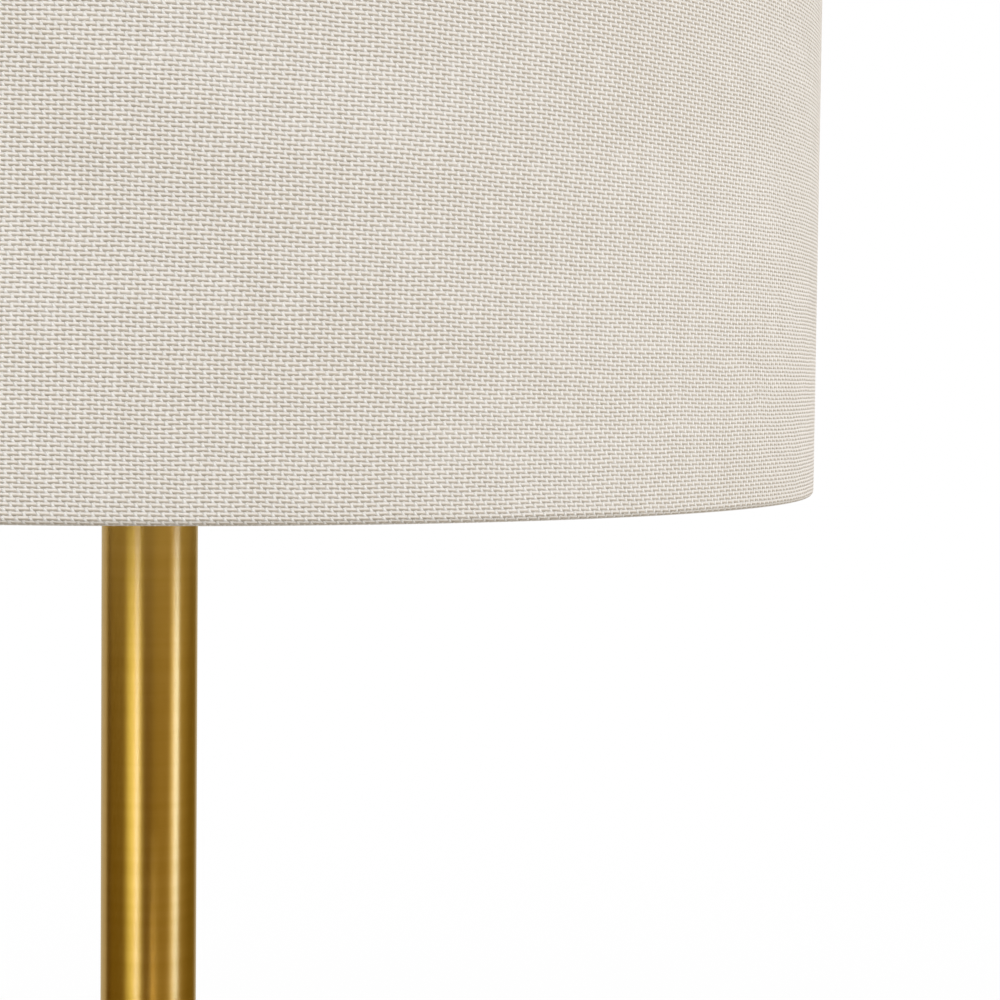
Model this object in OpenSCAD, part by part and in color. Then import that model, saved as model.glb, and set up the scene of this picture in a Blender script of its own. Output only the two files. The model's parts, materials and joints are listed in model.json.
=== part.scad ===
// Tripod table lamp: a linen drum shade over a brass stem that stands on three bent brass legs.
// Millimetres, +Z up. The origin is on the surface, under the middle of the stem.
// The front leg points to -Y, the cord leaves the hub towards +Y, and the harp stands in the XZ plane.

/* [Shade] */
// Outside diameter of the drum
shade_d = 350; // [320:1:400]
// Height of the drum, rim to rim
shade_h = 200; // [150:1:260]
// Thickness of the linen
linen_t = 0.6; // [0.4:0.1:1]
// Thickness of the stiff liner that the linen is laminated to
liner_t = 0.8; // [0.5:0.1:1.2]
// Thickness of the rolled lip of linen at each rim
hem_lip = 1.2; // [0.8:0.1:2]
// Width of the linen that is turned in behind each rim ring
hem_turn = 10; // [7:0.5:16]
// Wire diameter of the two rim rings
ring_wire_d = 4; // [3:0.1:5]
// Wire diameter of the spider's arms
arm_d = 3.2; // [2.5:0.1:3.6]
// Number of spider arms
arm_count = 3; // [3:1:4]
// Diameter of the washer in the middle of the spider
spider_washer_d = 26; // [24:0.5:34]
// Thickness of that washer
spider_washer_t = 1.6; // [1.2:0.1:2.4]
// Depth of the washer's top face below the top rim
washer_drop = 11; // [9:0.5:16]

/* [Stem] */
// Outside diameter of the stem tube
stem_d = 25.4; // [22:0.1:30]
// Wall of the stem tube
stem_wall = 1.5; // [1:0.1:2.5]
// How far the stem tube sits down in the hub
stem_seat = 5; // [3:0.5:6]
// Length of the stem above the hub
stem_l = 155; // [120:1:220]
// Width of the collar ring around the foot of the stem
collar_w = 3.3; // [2:0.1:6]
// Height of that collar ring
collar_h = 4; // [3:0.5:8]
// Height of the stem cap's flange
cap_flange_h = 4; // [3:0.5:6]
// How far the flange stands out past the stem
cap_flange_w = 1; // [0.5:0.1:2]
// Length of the cap's spigot inside the stem
cap_spigot_h = 8; // [5:0.5:12]
// Outside diameter of the hollow threaded rod
rod_d = 10; // [9:0.1:10.5]
// Bore of the threaded rod
rod_bore = 6.4; // [5:0.1:7]

/* [Hub] */
// Diameter of the turned hub
hub_d = 54; // [52:0.5:64]
// Height of the hub above the leg axis
hub_above = 13; // [12:0.5:18]
// Depth of the hub below the leg axis
hub_below = 19; // [18:0.5:24]
// Rounding of the hub's top edge
hub_top_r = 6; // [1:0.5:7]
// Rounding of the hub's bottom edge
hub_bottom_r = 2; // [0.5:0.5:3]
// Diameter of the wiring chamber under the hub
chamber_d = 34; // [32:0.5:36]
// Metal left between the chamber and the leg bores
chamber_roof = 2; // [1:0.1:2.5]
// Width of the step that the bottom cover sits on
cover_step = 1.5; // [1:0.1:2]
// Thickness of the bottom cover
cover_t = 1.5; // [1:0.1:2]
// Size across the flats of the hex nuts
nut_af = 14; // [13:0.5:16]
// Height of the nut under the hub
base_nut_h = 5; // [4:0.5:5.5]
// Diameter of the washer under the hub
base_washer_d = 20; // [18:0.5:24]
// Thickness of that washer
base_washer_t = 1.5; // [1:0.1:2]
// Length of threaded rod that stands out below the nut
rod_stub = 1; // [0.5:0.1:1.5]
// Diameter of the screws that hold the legs in the hub
leg_screw_d = 4; // [3:0.1:4]
// Distance of those screws from the hub's outside
leg_screw_inset = 4.5; // [4:0.1:5]
// Depth of their heads below the hub's underside
leg_screw_sunk = 1; // [0.5:0.1:2]
// Hex key size of those screws
leg_screw_key = 2; // [1.5:0.5:2]
// Depth of their hex socket
leg_screw_socket = 4; // [2:0.5:6]
// Outside diameter of the cord bushing where it passes through the hub
bush_d = 6.8; // [6:0.1:7]
// Bore of the cord bushing
bush_bore = 4.8; // [4:0.1:5]
// Diameter of the bushing's outer flange
bush_flange_d = 9.4; // [8.5:0.1:9.6]
// Thickness of that flange
bush_flange_t = 1.5; // [1:0.1:2.5]
// Depth of the flat that the flange sits on
bush_flat = 0.6; // [0.5:0.1:1.2]
// How far the bushing reaches into the wiring chamber
bush_in = 1; // [0.5:0.1:2]

/* [Legs] */
// Diameter of the leg rod
leg_d = 12; // [10:0.5:13]
// Distance from the stem's axis to the middle of each foot
leg_reach = 130; // [115:1:150]
// Height of the legs' axis where they leave the hub
leg_axis_z = 83; // [80:1:92]
// Bend radius of each leg, on its axis
leg_bend_r = 64; // [50:1:66]
// Angle of the lower leg away from upright
leg_splay = 12; // [6:1:20]
// Length of leg inside the hub
leg_tenon = 14; // [11:0.5:14]
// Diameter of the foot discs
foot_d = 26; // [24:0.5:34]
// Height of the foot discs
foot_h = 7; // [6:0.5:10]
// Depth of the leg's socket in the foot
foot_socket = 4; // [3:0.5:4.5]
// Rounding of the foot's top edge
foot_top_r = 2; // [0.5:0.5:3]
// Thickness of the rubber pads
pad_t = 2.5; // [2:0.1:4]
// Depth of the pad's recess in the foot
pad_recess = 1; // [0.5:0.1:1.4]
// Width of metal around the pad
pad_margin = 3; // [2:0.5:5]
// Rounding of the pad's bottom edge
pad_edge_r = 0.4; // [0.2:0.1:0.8]

/* [Lampholder] */
// Diameter of the bulb's screw cap
bulb_cap_d = 26; // [25.5:0.1:26.5]
// Gap between the bulb's threads and the screw shell
thread_gap = 0.3; // [0.3:0.05:0.5]
// Wall of the screw shell
screw_shell_t = 0.5; // [0.4:0.1:0.8]
// Length of the screw shell
screw_shell_h = 23; // [18:0.5:24]
// Wall of the insulating sleeve
sleeve_t = 0.8; // [0.6:0.1:1.2]
// How far the insulating sleeve stops below the shell's mouth
sleeve_short = 1; // [0.5:0.1:2]
// Wall of the outer shell
shell_t = 0.8; // [0.6:0.1:1.2]
// Width of the bead rolled around the shell's mouth
shell_bead = 0.8; // [0.6:0.1:1.2]
// Length of the shell above the cap's rim
shell_h = 43; // [38:0.5:45]
// Length of the shell inside the cap
shell_lap = 8; // [6:0.5:9]
// Wall of the lampholder cap
holder_cap_t = 0.9; // [0.7:0.1:1.2]
// Height of the cap's cup
holder_cap_h = 14; // [13:0.5:18]
// Rounding of the cup's lower edge
holder_cap_r = 6; // [4:0.5:7]
// Diameter of the cap's neck
neck_d = 15; // [14:0.5:17]
// Height of the cap's neck
neck_h = 5; // [4:0.5:8]
// Diameter of the screw that locks the cap
neck_screw_d = 2.5; // [2:0.1:3]
// How far that screw stands out of the neck
neck_screw_out = 0.4; // [0.2:0.1:1]
// Height of the switch block inside the shell
block_h = 25; // [22:0.5:27]
// Width between the two flats that the terminal screws stand on
terminal_flat = 20; // [18:0.5:21]
// Head diameter of the terminal screws
terminal_d = 5; // [4:0.5:6]
// Head height of the terminal screws
terminal_h = 2; // [1.5:0.1:2.4]
// Width of the slot in their heads
slot_w = 0.8; // [0.5:0.1:1.2]
// Depth of that slot
slot_t = 0.6; // [0.4:0.1:1]
// Diameter of the middle contact
contact_d = 10; // [8:0.5:12]
// Thickness of the middle contact
contact_t = 1.2; // [0.8:0.1:1.6]
// Diameter of the switch shaft
shaft_d = 3; // [2.5:0.1:3.5]
// Length of the switch shaft outside the shell
shaft_out = 15; // [12:0.5:18]
// Height of the switch shaft above the cap's rim
shaft_rise = 7; // [6.5:0.5:8]
// Gap around the shaft in the shell's hole
shaft_room = 1.5; // [1:0.1:2]
// Diameter of the switch knob
knob_d = 9; // [8:0.5:11]
// Length of the switch knob
knob_l = 12; // [8:0.5:12]
// Number of grip grooves around the knob
knob_grooves = 12; // [8:1:16]
// Radius of those grooves
groove_r = 0.6; // [0.4:0.1:1]
// How far the middle of a groove lies outside the knob
groove_out = 0.2; // [0.1:0.05:0.3]
// Rounding of the knob's edges
knob_edge_r = 0.8; // [0.4:0.1:1.2]
// How far the shaft's end stays inside the knob
knob_skin = 1; // [0.6:0.1:2]

/* [Bulb] */
// Diameter of the bulb's globe
globe_d = 60; // [55:0.5:64]
// Length of the bulb from its contact to its top
bulb_l = 108; // [104:0.5:110]
// Thickness of the glass
glass_t = 1.2; // [0.8:0.1:1.6]
// Length of the screw cap with its contact
bulb_cap_l = 26; // [24:0.5:28]
// Height of the contact at the cap's foot
bulb_tip_h = 1.5; // [1:0.1:2]
// Height of the contact and the insulator together
bulb_insulator_h = 4; // [3:0.5:5]
// Width of the ledge between the contact and the insulator's edge
insulator_ledge = 0.5; // [0.3:0.1:1]
// Distance of the insulator's top edge from the outside of the cap
insulator_inset = 3; // [2:0.1:4]
// Wall of the screw cap
bulb_cap_t = 0.5; // [0.4:0.1:0.8]
// Radius of the glass where it leaves the cap
glass_neck_r = 14.5; // [13.5:0.1:16]
// Length of glass neck inside the cap
glass_lap = 4; // [3:0.5:6]
// Number of thread ridges on the cap
thread_count = 5; // [3:1:5]
// Distance from one thread ridge to the next
thread_pitch = 3.63; // [3:0.01:3.7]
// Diameter of a thread ridge's rounded crest
ridge_d = 1.2; // [1:0.1:1.4]
// Height of the first ridge above the cap's foot
ridge_start = 2.5; // [2.2:0.1:3]
// Rounding of the cap's foot
cap_foot_r = 1.5; // [1:0.1:2]
// Gap between the glass neck and the cap's inside
glass_gap = 0.4; // [0.2:0.1:0.8]
// Length of the light sticks inside the globe
filament_l = 34; // [26:0.5:38]
// Diameter of the light sticks
filament_d = 1.6; // [1.2:0.1:2]
// Number of light sticks
filament_count = 4; // [2:1:6]
// Radius of the glass stalk that holds the sticks
mount_r = 4.5; // [3:0.1:6]
// Length of the stalk above the neck
mount_h = 40; // [30:1:50]

/* [Harp] */
// Wire diameter of the harp
harp_wire_d = 4; // [3.5:0.1:4.5]
// Distance from the lamp's axis to each harp leg
harp_leg_x = 29; // [28:0.5:32]
// Length of the flat run on each side of the harp's top
harp_top_run = 10; // [9:0.5:16]
// Radius of the harp's shoulders
harp_shoulder_r = 46; // [40:0.5:50]
// Angle at which the harp's sides draw in towards the saddle
harp_draw_in = 20; // [16:1:24]
// Radius of the bend above each harp leg
harp_ankle_r = 20; // [12:0.5:24]
// Thickness of the saddle strip
saddle_t = 1.6; // [1.2:0.1:2.4]
// Width of the saddle's arms
saddle_w = 10; // [8:0.5:12]
// Diameter of the saddle's middle
saddle_mid_d = 24; // [22:0.5:27]
// Height of the pegs that the harp's legs stand on
peg_h = 8; // [6:0.5:10]
// Length of the locking sleeves
harp_sleeve_h = 14; // [13:0.5:16]
// Wall of the locking sleeves
harp_sleeve_t = 1.5; // [1.2:0.1:2]
// Height of the bead at each end of a locking sleeve
sleeve_bead_h = 2; // [1.6:0.1:3]
// How far the beads stand out
sleeve_bead_w = 0.8; // [0.4:0.1:1]
// Height of the nut on the saddle
saddle_nut_h = 4; // [3:0.5:5]
// Space between the top of the bulb and the boss on the harp
bulb_room = 15.35; // [12:0.05:24]
// Diameter of the boss around the harp's top
boss_d = 10; // [9:0.5:12]
// Height of the boss
boss_h = 8; // [7:0.5:10]
// Diameter of the seat that the shade's washer rests on
seat_d = 15; // [13:0.5:18]
// Thickness of that seat
seat_t = 2; // [1.5:0.1:3]
// Diameter of the stud that carries the shade
stud_d = 6.35; // [6:0.05:6.5]
// Length of the stud above its seat
stud_h = 14; // [12:0.5:15]

/* [Finial] */
// Diameter of the finial's base
finial_base_d = 16; // [14:0.5:18]
// Height of the finial's base
finial_base_h = 3; // [2:0.5:5]
// Diameter of the finial's neck
finial_neck_d = 9.5; // [9:0.1:11]
// Diameter of the ball on top
finial_ball_d = 16; // [14:0.5:20]
// Height of the finial
finial_h = 28; // [26:0.5:34]

/* [Clearances] */
// Gap around pieces that are pushed or screwed together
fit = 0.1; // [0.05:0.01:0.15]
// Gap around pieces that turn or slide on each other
run = 0.07; // [0.04:0.01:0.09]
// Gap between the flat faces of a moving piece and its seat
rest_gap = 0.05; // [0.02:0.01:0.1]
// Glue line between the layers of the shade
glue = 0.05; // [0.03:0.01:0.1]
// Gap around each spider arm where it passes through the top hem
arm_notch = 0.4; // [0.2:0.1:1]

/* [Hidden] */
$fn = 96;

brass = "#c39a3c";
brushed_brass = "#b98f36";
old_brass = "#a8863f";
zinc = "#b4b4b0";
rubber_black = "#1c1c1c";
moulded_black = "#26241f";
linen = "#ddd6ca";
white_wire = "#eeeeea";
card = "#b79a6b";
opal = "#f6f4ee";
light_stick = "#e8c35a";

// How far a cutter runs past the face that it opens
past = 1;
// The swell of a bent rod where a straight run meets a bend
swell_w = 0.05;
swell_l = 0.1;
// Rounding of a turned fitting's top edge, of an edge that is only broken, and of one left sharp
turned_r = 1;
broken_r = 0.4;
sharp_r = 0.01;
// Directions of the three legs, counted from +X
leg_front_angle = -90;
leg_right_angle = 30;
leg_left_angle = 150;
leg_angles = [leg_front_angle, leg_right_angle, leg_left_angle];
cord_angle = 90;

// Heights, from the surface up
foot_z = pad_t - pad_recess;
foot_seat_z = foot_z + foot_h - foot_socket;
hub_z = leg_axis_z - hub_below;
hub_top_z = leg_axis_z + hub_above;
chamber_top_z = leg_axis_z - leg_d / 2 - chamber_roof;
base_washer_z = chamber_top_z - base_washer_t;
base_nut_z = base_washer_z - base_nut_h;
rod_z = base_nut_z - rod_stub;
bush_z = (hub_z + cover_t + chamber_top_z) / 2;
stem_z = hub_top_z - stem_seat;
stem_top_z = hub_top_z + stem_l;
saddle_z = stem_top_z + cap_flange_h;
saddle_top_z = saddle_z + saddle_t;
neck_z = saddle_top_z + saddle_nut_h;
cup_z = neck_z + neck_h;
cup_top_z = cup_z + holder_cap_h;
rod_top_z = cup_z + holder_cap_t;
shell_z = cup_top_z - shell_lap;
shell_top_z = cup_top_z + shell_h;
block_z = shell_z + holder_cap_t;
block_top_z = block_z + block_h;
shaft_z = cup_top_z + shaft_rise;
bulb_z = block_top_z + contact_t + thread_gap;
bulb_cap_top_z = bulb_z + bulb_cap_l;
globe_z = bulb_z + bulb_l - globe_d / 2;
boss_z = bulb_z + bulb_l + bulb_room;
harp_top_z = boss_z + boss_h / 2;
seat_z = boss_z + boss_h + seat_t;
spider_z = seat_z + rest_gap;
spider_top_z = spider_z + spider_washer_t;
finial_z = spider_top_z + rest_gap;
top_rim_z = spider_top_z + washer_drop;
rim_z = top_rim_z - shade_h;

// Radii
rod_hole_r = rod_d / 2 + fit;
stem_hole_r = stem_d / 2 + fit;
chamber_r = chamber_d / 2;
cover_r = chamber_r + cover_step;
leg_end_r = hub_d / 2 - leg_tenon;
leg_screw_r = hub_d / 2 - leg_screw_inset;
leg_screw_l = hub_below - leg_screw_sunk - leg_d / 2;
bush_flat_r = hub_d / 2 - bush_flat;
pad_r = foot_d / 2 - pad_margin;
screw_shell_ir = bulb_cap_d / 2 + thread_gap;
screw_shell_r = screw_shell_ir + screw_shell_t;
sleeve_ir = screw_shell_r + fit;
sleeve_r = sleeve_ir + sleeve_t;
shell_ir = sleeve_r + fit;
shell_r = shell_ir + shell_t;
holder_cap_ir = shell_r + fit;
holder_cap_or = holder_cap_ir + holder_cap_t;
shaft_hole_r = shaft_d / 2 + shaft_room;
shaft_in_y = -rest_gap;
shaft_end_y = -shell_r - shaft_out;
knob_in_y = shaft_end_y + knob_l - knob_skin;
bulb_cap_ir = bulb_cap_d / 2 - ridge_d / 2 - bulb_cap_t;
glass_lap_r = bulb_cap_ir - glass_gap;
stud_hole_r = stud_d / 2 + run;
shade_r = shade_d / 2;
liner_r = shade_r - linen_t - glue;
liner_ir = liner_r - liner_t;
ring_r = liner_ir - glue - ring_wire_d / 2;
turn_r = ring_r - ring_wire_d / 2 - glue;
turn_ir = turn_r - linen_t;
skin_z = rim_z + hem_lip;
skin_h = shade_h - 2 * hem_lip;
bottom_ring_z = skin_z + glue + ring_wire_d / 2;
top_ring_z = top_rim_z - hem_lip - glue - ring_wire_d / 2;

// Leg: the run from the hub to the bend, and from the bend to the foot
leg_bend_end_z = leg_axis_z - leg_bend_r * (1 - sin(leg_splay));
leg_lower_l = (leg_bend_end_z - foot_seat_z) / cos(leg_splay);
leg_bend_x = leg_reach - leg_bend_r * cos(leg_splay) - leg_lower_l * sin(leg_splay);
leg_upper_l = leg_bend_x - leg_end_r;
leg_spare_l = leg_d / 2 * tan(leg_splay) + past;

// Harp: the straight side that joins its shoulder to its ankle
harp_side_l = (harp_top_run + harp_shoulder_r * cos(harp_draw_in)
    - harp_ankle_r * (1 - cos(harp_draw_in)) - harp_leg_x) / sin(harp_draw_in);
harp_drop = harp_shoulder_r * (1 + sin(harp_draw_in)) + harp_side_l * cos(harp_draw_in)
    + harp_ankle_r * sin(harp_draw_in);
harp_leg_l = harp_top_z - harp_drop - saddle_top_z - peg_h;

// Spider: slope of the arms from the washer up to the top ring
arm_in_r = spider_washer_d / 2 - arm_d / 2;
arm_z = spider_z + spider_washer_t / 2;
arm_run = ring_r - arm_in_r;
arm_rise = top_ring_z - arm_z;
arm_l = norm([arm_run, arm_rise]);
arm_slope = atan2(arm_rise, arm_run);

// Bulb: the cone of glass that touches the globe
glass_dz = globe_z - bulb_cap_top_z;
glass_far = norm([glass_neck_r, glass_dz]);
glass_tangent_l = sqrt(glass_far * glass_far - globe_d * globe_d / 4);
glass_tangent_a = atan2(glass_dz, -glass_neck_r) - asin(globe_d / 2 / glass_far);

module tube(r, inner_r, h) {
    difference() {
        cylinder(r = r, h = h);
        translate([0, 0, -past]) cylinder(r = inner_r, h = h + 2 * past);
    }
}

// Half section of a disc with rounded edges
module rounded_half(r, h, bottom_r, top_r) {
    square([r - max(bottom_r, top_r), h]);
    translate([0, bottom_r]) square([r, h - bottom_r - top_r]);
    square([r - bottom_r, bottom_r]);
    translate([r - bottom_r, bottom_r]) circle(r = bottom_r);
    translate([0, h - top_r]) square([r - top_r, top_r]);
    translate([r - top_r, h - top_r]) circle(r = top_r);
}

module rounded_disc(r, h, bottom_r, top_r) {
    rotate_extrude() rounded_half(r, h, bottom_r, top_r);
}

module wire_ring(r, d) {
    rotate_extrude() translate([r, 0]) circle(d = d);
}

module hex_prism(across_flats, h) {
    cylinder(d = across_flats / cos(30), h = h, $fn = 6);
}

// Rod bent in the XZ plane. It starts at the origin towards +X. Each move is ["go", length]
// or ["down", radius, angle] or ["up", radius, angle], and the rod swells by a hair between moves.
module bent_rod(d, moves, step = 0) {
    if (step < len(moves)) {
        move = moves[step];
        if (step > 0) rotate([0, 90, 0]) cylinder(d = d + swell_w, h = swell_l, center = true);
        if (move[0] == "go") {
            rotate([0, 90, 0]) cylinder(d = d, h = move[1]);
            translate([move[1], 0, 0]) bent_rod(d, moves, step + 1);
        } else {
            side = move[0] == "down" ? 1 : -1;
            radius = move[1];
            turn = move[2];
            start = side > 0 ? 90 - turn : -90;
            translate([0, 0, -side * radius]) rotate([90, 0, 0]) rotate([0, 0, start])
                rotate_extrude(angle = turn) translate([radius, 0]) circle(d = d);
            translate([radius * sin(turn), 0, -side * radius * (1 - cos(turn))])
                rotate([0, side * turn, 0]) bent_rod(d, moves, step + 1);
        }
    }
}

// Rubber pad in the underside of a foot
module pad(a) {
    color(rubber_black) rotate(a) translate([leg_reach, 0, 0])
        rounded_disc(pad_r, pad_t, pad_edge_r, sharp_r);
}

// Foot disc with a socket for the leg above and a recess for the pad below
module foot(a) {
    color(brass) rotate(a) difference() {
        translate([leg_reach, 0, foot_z]) rounded_disc(foot_d / 2, foot_h, broken_r, foot_top_r);
        translate([leg_reach, 0, foot_z - past]) cylinder(r = pad_r + fit, h = pad_recess + past);
        intersection() {
            leg_lower(leg_d + 2 * fit);
            translate([leg_reach - foot_d, -foot_d, foot_seat_z])
                cube([2 * foot_d, 2 * foot_d, foot_h]);
        }
    }
}

// The straight lower end of a leg, run on past the foot's seat
module leg_lower(d) {
    translate([leg_reach, 0, foot_seat_z]) rotate([0, -leg_splay, 0])
        translate([0, 0, -leg_spare_l]) cylinder(d = d, h = leg_lower_l + leg_spare_l);
}

// Leg rod: out of the hub, bent down, and cut level in the foot
module leg(a) {
    color(brass) rotate(a) difference() {
        translate([leg_end_r, 0, leg_axis_z]) bent_rod(leg_d, [
            ["go", leg_upper_l],
            ["down", leg_bend_r, 90 - leg_splay],
            ["go", leg_lower_l + leg_spare_l]
        ]);
        translate([leg_reach - foot_d, -foot_d, foot_seat_z - foot_d])
            cube([2 * foot_d, 2 * foot_d, foot_d]);
    }
}

// Headless screws, from under the hub up to the legs
module leg_screws() {
    color(zinc) for (a = leg_angles) rotate(a) translate([leg_screw_r, 0, hub_z + leg_screw_sunk])
        difference() {
            cylinder(d = leg_screw_d, h = leg_screw_l);
            translate([0, 0, -past]) hex_prism(leg_screw_key, leg_screw_socket + past);
        }
}

// Turned hub, with the stem's seat, the legs' bores and the wiring chamber
module hub() {
    color(brass) difference() {
        translate([0, 0, hub_z])
            rounded_disc(hub_d / 2, hub_above + hub_below, hub_bottom_r, hub_top_r);
        translate([0, 0, hub_z]) cylinder(r = rod_hole_r, h = hub_above + hub_below + past);
        translate([0, 0, stem_z]) cylinder(r = stem_hole_r, h = stem_seat + past);
        translate([0, 0, hub_z - past]) cylinder(r = chamber_r, h = chamber_top_z - hub_z + past);
        translate([0, 0, hub_z - past]) cylinder(r = cover_r + fit, h = cover_t + past);
        for (a = leg_angles) rotate(a) {
            translate([leg_end_r, 0, leg_axis_z]) rotate([0, 90, 0])
                cylinder(d = leg_d + 2 * fit, h = leg_tenon + past);
            translate([leg_screw_r, 0, hub_z - past])
                cylinder(d = leg_screw_d + 2 * fit, h = hub_below + past);
        }
        rotate(cord_angle) {
            translate([chamber_r - past, 0, bush_z]) rotate([0, 90, 0])
                cylinder(d = bush_d + 2 * fit, h = hub_d / 2);
            translate([bush_flat_r, 0, bush_z]) rotate([0, 90, 0])
                cylinder(d = bush_flange_d + 2 * fit, h = hub_d / 2);
        }
    }
}

// Plate that closes the chamber under the hub
module hub_cover() {
    color(old_brass) translate([0, 0, hub_z]) rounded_disc(cover_r, cover_t, broken_r, sharp_r);
}

// Grommet that the supply cord passes through at the back of the hub
module cord_bushing() {
    bush_l = bush_flat_r - chamber_r + bush_in;
    color(rubber_black) rotate(cord_angle) translate([bush_flat_r, 0, bush_z]) rotate([0, 90, 0])
        difference() {
            union() {
                cylinder(d = bush_flange_d, h = bush_flange_t);
                translate([0, 0, -bush_l]) cylinder(d = bush_d, h = bush_l);
            }
            translate([0, 0, -bush_l - past])
                cylinder(d = bush_bore, h = bush_l + bush_flange_t + 2 * past);
        }
}

module base_washer() {
    color(zinc) translate([0, 0, base_washer_z])
        tube(base_washer_d / 2, rod_hole_r, base_washer_t);
}

module base_nut() {
    color(zinc) translate([0, 0, base_nut_z]) difference() {
        hex_prism(nut_af, base_nut_h);
        translate([0, 0, -past]) cylinder(r = rod_hole_r, h = base_nut_h + 2 * past);
    }
}

// Hollow rod that clamps hub, stem, saddle and lampholder, and carries the wires
module threaded_rod() {
    color(zinc) translate([0, 0, rod_z]) tube(rod_d / 2, rod_bore / 2, rod_top_z - rod_z);
}

module stem_collar() {
    color(brass) translate([0, 0, hub_top_z]) difference() {
        rounded_disc(stem_hole_r + collar_w, collar_h, broken_r, turned_r);
        translate([0, 0, -past]) cylinder(r = stem_hole_r, h = collar_h + 2 * past);
    }
}

module stem() {
    color(brushed_brass) translate([0, 0, stem_z])
        tube(stem_d / 2, stem_d / 2 - stem_wall, stem_top_z - stem_z);
}

// Plug that centres the rod in the top of the stem
module stem_cap() {
    color(brass) difference() {
        union() {
            translate([0, 0, stem_top_z])
                rounded_disc(stem_d / 2 + cap_flange_w, cap_flange_h, broken_r, turned_r);
            translate([0, 0, stem_top_z - cap_spigot_h])
                cylinder(r = stem_d / 2 - stem_wall - fit, h = cap_spigot_h + cap_flange_h / 2);
        }
        translate([0, 0, stem_top_z - cap_spigot_h - past])
            cylinder(r = rod_hole_r, h = cap_spigot_h + cap_flange_h + 2 * past);
    }
}

// Strip clamped under the lampholder, with a peg at each end for the harp
module saddle() {
    color(brass) {
        translate([0, 0, saddle_z]) linear_extrude(saddle_t) difference() {
            union() {
                circle(d = saddle_mid_d);
                translate([-harp_leg_x, -saddle_w / 2]) square([2 * harp_leg_x, saddle_w]);
                for (side = [-1, 1]) translate([side * harp_leg_x, 0]) circle(d = saddle_w);
            }
            circle(r = rod_hole_r);
        }
        for (side = [-1, 1]) translate([side * harp_leg_x, 0, saddle_z])
            cylinder(d = harp_wire_d, h = saddle_t + peg_h);
    }
}

module saddle_nut() {
    color(brass) translate([0, 0, saddle_top_z]) difference() {
        hex_prism(nut_af, saddle_nut_h);
        translate([0, 0, -past]) cylinder(r = rod_hole_r, h = saddle_nut_h + 2 * past);
    }
}

// Wire loop that carries the shade over the bulb
module harp() {
    color(brass) for (side = [0, 1]) translate([0, 0, harp_top_z]) mirror([side, 0, 0])
        bent_rod(harp_wire_d, [
            ["go", harp_top_run],
            ["down", harp_shoulder_r, 90 + harp_draw_in],
            ["go", harp_side_l],
            ["up", harp_ankle_r, harp_draw_in],
            ["go", harp_leg_l]
        ]);
}

// Boss, seat and stud on top of the harp
module harp_stud() {
    color(brass) difference() {
        union() {
            translate([0, 0, boss_z]) cylinder(d = boss_d, h = boss_h);
            translate([0, 0, boss_z + boss_h]) cylinder(d = seat_d, h = seat_t);
            translate([0, 0, boss_z + boss_h]) cylinder(d = stud_d, h = seat_t + stud_h);
        }
        translate([-boss_d, 0, harp_top_z]) rotate([0, 90, 0])
            cylinder(d = harp_wire_d + 2 * fit, h = 2 * boss_d);
    }
}

// Sleeve that locks a harp leg on its peg, and lifts to free it
module harp_sleeve(side) {
    sleeve_or = harp_wire_d / 2 + run + harp_sleeve_t;
    color(brass) translate([side * harp_leg_x, 0, saddle_top_z + rest_gap]) difference() {
        union() {
            cylinder(r = sleeve_or, h = harp_sleeve_h);
            for (z = [0, harp_sleeve_h - sleeve_bead_h]) translate([0, 0, z])
                rounded_disc(sleeve_or + sleeve_bead_w, sleeve_bead_h, sleeve_bead_w, sleeve_bead_w);
        }
        translate([0, 0, -past]) cylinder(r = harp_wire_d / 2 + run, h = harp_sleeve_h + 2 * past);
    }
}

// Cup that the lampholder's shell snaps into
module holder_cap() {
    color(brass) difference() {
        union() {
            translate([0, 0, neck_z]) cylinder(d = neck_d, h = neck_h + holder_cap_t);
            translate([0, 0, cup_z]) difference() {
                rounded_disc(holder_cap_or, holder_cap_h + holder_cap_r, holder_cap_r, sharp_r);
                translate([0, 0, holder_cap_t]) rounded_disc(holder_cap_ir,
                    holder_cap_h + holder_cap_r, holder_cap_r - holder_cap_t, sharp_r);
                translate([0, 0, holder_cap_h]) cylinder(r = holder_cap_or + past, h = holder_cap_h);
            }
        }
        translate([0, 0, neck_z - past]) cylinder(r = rod_hole_r, h = neck_h + holder_cap_h);
        translate([0, 0, neck_z + neck_h / 2]) rotate([90, 0, 0])
            cylinder(d = neck_screw_d + 2 * fit, h = neck_d);
    }
}

// Small screw that locks the cap on the rod
module holder_cap_screw() {
    screw_l = neck_d / 2 - rod_hole_r + neck_screw_out;
    color(zinc) translate([0, -rod_d / 2 - fit, neck_z + neck_h / 2]) rotate([90, 0, 0])
        cylinder(d = neck_screw_d, h = screw_l);
}

module holder_shell() {
    shell_l = shell_h + shell_lap;
    color(brass) difference() {
        translate([0, 0, shell_z]) union() {
            tube(shell_r, shell_ir, shell_l);
            translate([0, 0, shell_l - shell_bead]) difference() {
                wire_ring(shell_r, 2 * shell_bead);
                translate([0, 0, -shell_l]) cylinder(r = shell_ir, h = 2 * shell_l);
            }
        }
        translate([0, 0, shaft_z]) rotate([90, 0, 0]) cylinder(r = shaft_hole_r, h = 2 * shell_r);
    }
}

module insulating_sleeve() {
    sleeve_l = shell_top_z - sleeve_short - block_z;
    color(card) difference() {
        translate([0, 0, block_z]) tube(sleeve_r, sleeve_ir, sleeve_l);
        translate([0, 0, shaft_z]) rotate([90, 0, 0]) cylinder(r = shaft_hole_r, h = 2 * shell_r);
    }
}

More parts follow.
